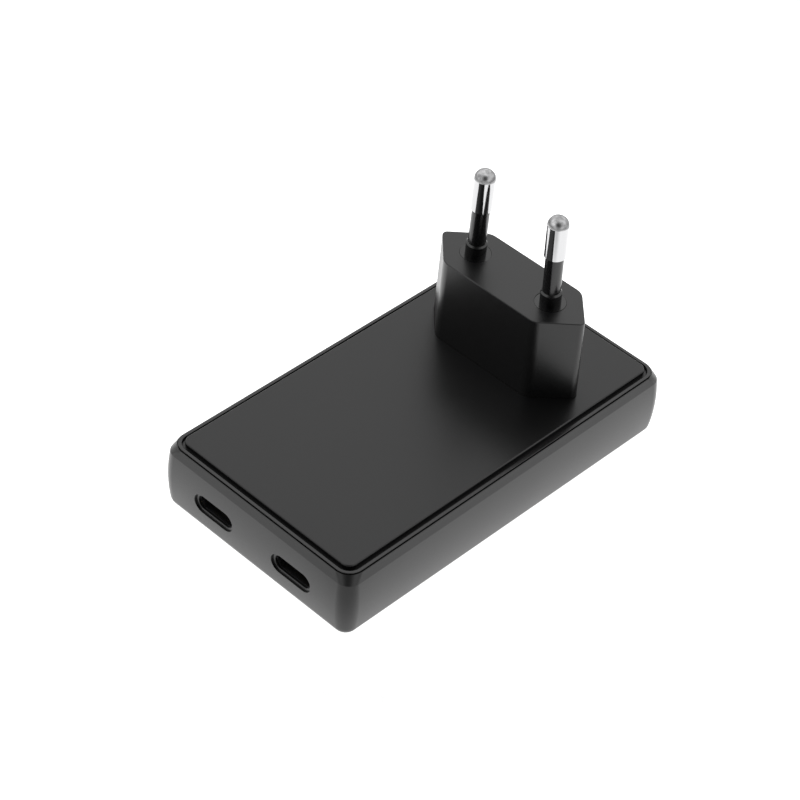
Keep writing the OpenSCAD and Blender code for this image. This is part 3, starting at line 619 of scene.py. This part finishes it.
def pin_plating(name, colour):
    """Polished plating whose rounded end is rougher and darker in spots, the darkening a painted shade for
    the dark surroundings it reflects.
    """
    material, tree, shader = new_material(name, colour, 0.08, metallic=1.0)
    place = tree.nodes.new("ShaderNodeTexCoord")
    split = tree.nodes.new("ShaderNodeSeparateXYZ")
    tree.links.new(place.outputs["Object"], split.inputs["Vector"])
    # painted shade: the metal's colour darkens in spots from the dome's foot up, standing in for a reflection
    # of the dark room
    dome_z = plug_top + PIN_L - DOME_H
    start, full = (dome_z + DOME_SHADE_START) * MM, (dome_z + DOME_SHADE_FULL) * MM
    dome_shade = map_range(tree, split.outputs["Z"], start, full, 0, 1, smooth=False)
    spots = texture(tree, "ShaderNodeTexNoise", 1100, Detail=3.0, Roughness=0.6)
    tip_shade_mask = math_node(tree, "MULTIPLY", dome_shade, spots.outputs["Fac"])
    # painted shade on the dome, which also roughens it
    ramp = vary_colour(tree, shader, tip_shade_mask, colour, tuple(0.35 * c for c in colour))
    ramp.color_ramp.elements[0].position = 0.25
    ramp.color_ramp.elements[1].position = 0.72
    vary_roughness(tree, shader, tip_shade_mask, 0.07, 0.42)
    return material


def plain(name, colour, roughness, metallic=0.0, scale=900, spread=0.25, depth=4e-6):
    """A part inside: speckled colour, uneven gloss and a little grain."""
    material, tree, shader = new_material(name, colour, roughness, metallic)
    speck = texture(tree, "ShaderNodeTexNoise", scale, Detail=5.0, Roughness=0.6)
    dark = tuple((1 - spread) * c for c in colour)
    light = tuple(min(1, (1 + spread) * c) for c in colour)
    vary_colour(tree, shader, speck.outputs["Fac"], dark, light)
    vary_roughness(tree, shader, speck.outputs["Fac"], roughness * 0.8, min(1, roughness * 1.25))
    add_bump(tree, shader, speck, "Fac", depth)
    return material


def wound(name, colour, pitch, stretch):
    """Enamelled wire laid side by side: fine bands with a matching bump, each with a painted highlight along
    the turn and painted shade where turns meet.
    """
    material, tree, shader = new_material(name, colour, 0.3, metallic=0.7)
    turns = texture(tree, "ShaderNodeTexWave", 1 / (pitch * MM) / 2, stretch, Distortion=0.4, Detail=1.0)
    # painted highlight along each turn and painted shade between turns
    vary_colour(tree, shader, turns.outputs["Fac"], tuple(0.35 * c for c in colour), colour)
    add_bump(tree, shader, turns, "Fac", 1e-4)
    return material


def board_material(name):
    """Solder resist with the faint relief of tracks under it."""
    material, tree, shader = new_material(name, (0.01, 0.09, 0.045), 0.35)
    tracks = texture(tree, "ShaderNodeTexBrick", 260, (1, 1, 1))
    tracks.inputs["Color1"].default_value = (0.01, 0.1, 0.05, 1)
    tracks.inputs["Color2"].default_value = (0.012, 0.13, 0.06, 1)
    tracks.inputs["Mortar"].default_value = (0.006, 0.06, 0.03, 1)
    tree.links.new(tracks.outputs["Color"], shader.inputs["Base Color"])
    add_bump(tree, shader, tracks, "Fac", -3e-5)
    return material


BLACK = (0.0012, 0.0012, 0.0013)
materials = {
    "housing_plastic": moulded_black("housing_plastic", BLACK, 0.3, 8e-6),
    "cover_plastic": moulded_black("cover_plastic", BLACK, 0.32, 8e-6, specular=0.38),
    "plug_plastic": moulded_black("plug_plastic", BLACK, 0.31, 8e-6, specular=0.44),
    "sleeve_plastic": gloss_black("sleeve_plastic", (0.0015, 0.0015, 0.0016), 0.18),
    "pin_metal": pin_plating("pin_metal", (0.5, 0.5, 0.505)),
    "inner_plastic": plain("inner_plastic", (0.012, 0.012, 0.014), 0.5),
    "brass": plated("brass", (0.72, 0.52, 0.24), 0.25, 2e-6),
    "port_metal": plated("port_metal", (0.1, 0.1, 0.105), 0.35, 2e-6),
    "port_plastic": plain("port_plastic", (0.004, 0.004, 0.004), 0.6),
    "contact_gold": plated("contact_gold", (0.8, 0.6, 0.25), 0.2, 1e-6),
    "board": board_material("board"),
    "heat_spreader": plain("heat_spreader", (0.6, 0.62, 0.64), 0.35, metallic=1.0, spread=0.08),
    "film": plain("film", (0.75, 0.72, 0.55), 0.25, spread=0.06),
    "thermal_pad": plain("thermal_pad", (0.25, 0.3, 0.38), 0.8, spread=0.15),
    "black_resin": plain("black_resin", (0.015, 0.015, 0.015), 0.55),
    "green_resin": plain("green_resin", (0.03, 0.14, 0.06), 0.3, scale=300),
    "blue_resin": plain("blue_resin", (0.04, 0.14, 0.42), 0.3, scale=300),
    "yellow_plastic": plain("yellow_plastic", (0.75, 0.55, 0.06), 0.35, spread=0.08),
    "red_plastic": plain("red_plastic", (0.3, 0.05, 0.03), 0.35, spread=0.15),
    "white_plastic": plain("white_plastic", (0.75, 0.75, 0.72), 0.5, spread=0.05),
    "ferrite": plain("ferrite", (0.05, 0.05, 0.055), 0.6, spread=0.4),
    "copper_wire": wound("copper_wire", (0.62, 0.24, 0.09), 0.25, (1, 1, 1)),
    "capacitor_sleeve": plain("capacitor_sleeve", (0.015, 0.015, 0.03), 0.25, scale=200),
    "capacitor_can": plated("capacitor_can", (0.75, 0.75, 0.77), 0.3, 3e-6),
    "chip_ceramic": plain("chip_ceramic", (0.45, 0.33, 0.2), 0.5),
}


def dress_cad_nodes():
    """Gives every carried-over CAD node the material of its slot in the record."""
    for part in frame["record"]["subparts"]:
        node = frame["nodes"][part["node"]]
        if node.hide_render:
            continue
        node.data.materials.clear()
        node.data.materials.append(materials[part["material_slot"]])


# ---- studio ----

# Angles in degrees, all else in millimetres
CAMERA_AZIMUTH = 41.606
CAMERA_ELEVATION = 41.9375
CAMERA_ROLL = 4.7577
CAMERA_DISTANCE = 491.227
CAMERA_AIM = (-13.339, 9.518, 1.0)
CAMERA_LENS = 117.79
CAMERA_SENSOR = 36


def camera_axes():
    """Right, up and back directions of the camera before it is rolled."""
    az, el = math.radians(CAMERA_AZIMUTH), math.radians(CAMERA_ELEVATION)
    back = Vector((math.sin(az) * math.cos(el), -math.cos(az) * math.cos(el), math.sin(el)))
    right = Vector((math.cos(az), math.sin(az), 0))
    return right, back.cross(right), back


def build_camera():
    right, up, back = camera_axes()
    roll = math.radians(CAMERA_ROLL)
    x_axis = right * math.cos(roll) + up * math.sin(roll)
    y_axis = up * math.cos(roll) - right * math.sin(roll)
    data = bpy.data.cameras.new("camera")
    data.sensor_width = CAMERA_SENSOR
    data.lens = CAMERA_LENS
    data.clip_start = 0.01
    camera = bpy.data.objects.new("camera", data)
    camera.matrix_world = Matrix.Translation((Vector(CAMERA_AIM) + back * CAMERA_DISTANCE) * MM) @ Matrix(
        (x_axis, y_axis, back)).transposed().to_4x4()
    bpy.context.scene.collection.objects.link(camera)
    bpy.context.scene.camera = camera


WORLD_LIGHT = 1.5
DARK_LIGHT = 0.1
DARK_CORE = 8  # the dark patch is full inside this angle from the camera, and gone outside the next
DARK_EDGE = 42
HORIZON_LIGHT = 0.55
HORIZON_TOP = 0.5


def build_world():
    """A white room, dimmer towards the horizon, with a dark patch where the camera and its operator stand."""
    world = bpy.data.worlds.new("studio")
    bpy.context.scene.world = world
    world.use_nodes = True
    tree = world.node_tree
    place = tree.nodes.new("ShaderNodeTexCoord")
    dot = tree.nodes.new("ShaderNodeVectorMath")
    dot.operation = "DOT_PRODUCT"
    dot.inputs[1].default_value = camera_axes()[2]
    split = tree.nodes.new("ShaderNodeSeparateXYZ")
    tree.links.new(place.outputs["Generated"], dot.inputs[0])
    tree.links.new(place.outputs["Generated"], split.inputs["Vector"])
    edge, core = (math.cos(math.radians(a)) for a in (DARK_EDGE, DARK_CORE))
    patch = map_range(tree, dot.outputs["Value"], edge, core, WORLD_LIGHT, DARK_LIGHT)
    height = map_range(tree, split.outputs["Z"], 0, HORIZON_TOP, HORIZON_LIGHT, 1)
    background = tree.nodes["Background"]
    background.inputs["Color"].default_value = (1, 1, 1, 1)
    tree.links.new(math_node(tree, "MULTIPLY", patch, height), background.inputs["Strength"])


# The floor's own lengths are in metres
FLOOR_HALF = 6.0
FLOOR_DROP = 2e-5
GLOW = 1.1
# GLOW_SHADED and the SHADE_ values set a painted shade in the floor's glow, in front of the near corner
GLOW_SHADED = 0.42
SHADE_TURN = 48.4
SHADE_START = 0.04
SHADE_END = 0.058
SHADE_MIDDLE = -0.0096
SHADE_CORE = 0.02
SHADE_EDGE = 0.07
TABLE_LIT = 0.1
TABLE_DARK = 0.24


def build_floor():
    """A pale sheet that glows as over a small light table, with a painted shade in its glow in front of the
    near corner.
    """
    mesh = bpy.data.meshes.new("floor")
    corners = [(-FLOOR_HALF, -FLOOR_HALF), (FLOOR_HALF, -FLOOR_HALF),
               (FLOOR_HALF, FLOOR_HALF), (-FLOOR_HALF, FLOOR_HALF)]
    mesh.from_pydata([(x, y, -FLOOR_DROP) for x, y in corners], [], [(0, 1, 2, 3)])
    floor = bpy.data.objects.new("floor", mesh)
    material, tree, shader = new_material("floor", (0.5, 0.5, 0.5), 0.9)
    fibres = texture(tree, "ShaderNodeTexNoise", 40, Detail=6.0)
    vary_colour(tree, shader, fibres.outputs["Fac"], (0.49, 0.49, 0.49), (0.51, 0.51, 0.51))
    place = tree.nodes.new("ShaderNodeTexCoord")
    turn = tree.nodes.new("ShaderNodeMapping")
    turn.inputs["Rotation"].default_value = (0, 0, math.radians(SHADE_TURN))
    split = tree.nodes.new("ShaderNodeSeparateXYZ")
    tree.links.new(place.outputs["Object"], turn.inputs["Vector"])
    tree.links.new(turn.outputs["Vector"], split.inputs["Vector"])
    # painted shade: the glow is dimmed in a soft patch in front of the near corner
    ahead = map_range(tree, split.outputs["X"], SHADE_START, SHADE_END, 0, 1)
    aside = math_node(tree, "ABSOLUTE", math_node(tree, "SUBTRACT", split.outputs["Y"], SHADE_MIDDLE))
    beside = map_range(tree, aside, SHADE_CORE, SHADE_EDGE, 1, 0)
    shade = math_node(tree, "MULTIPLY", ahead, beside)
    glow = map_range(tree, shade, 0, 1, GLOW, GLOW_SHADED, smooth=False)
    distance = tree.nodes.new("ShaderNodeVectorMath")
    distance.operation = "LENGTH"
    tree.links.new(place.outputs["Object"], distance.inputs[0])
    lamps = map_range(tree, distance.outputs["Value"], TABLE_LIT, TABLE_DARK, 1, 0)
    tree.links.new(math_node(tree, "MULTIPLY", glow, lamps), shader.inputs["Emission Strength"])
    shader.inputs["Emission Color"].default_value = (1, 1, 1, 1)
    mesh.materials.append(material)
    bpy.context.scene.collection.objects.link(floor)


build_camera()
build_world()
build_floor()
build_housing()
build_cover()
build_plug_block()
for pin_side in ("left", "right"):
    build_pin(pin_side)
    build_sleeve(pin_side)
dress_cad_nodes()
bpy.context.scene.view_settings.view_transform = "Standard"
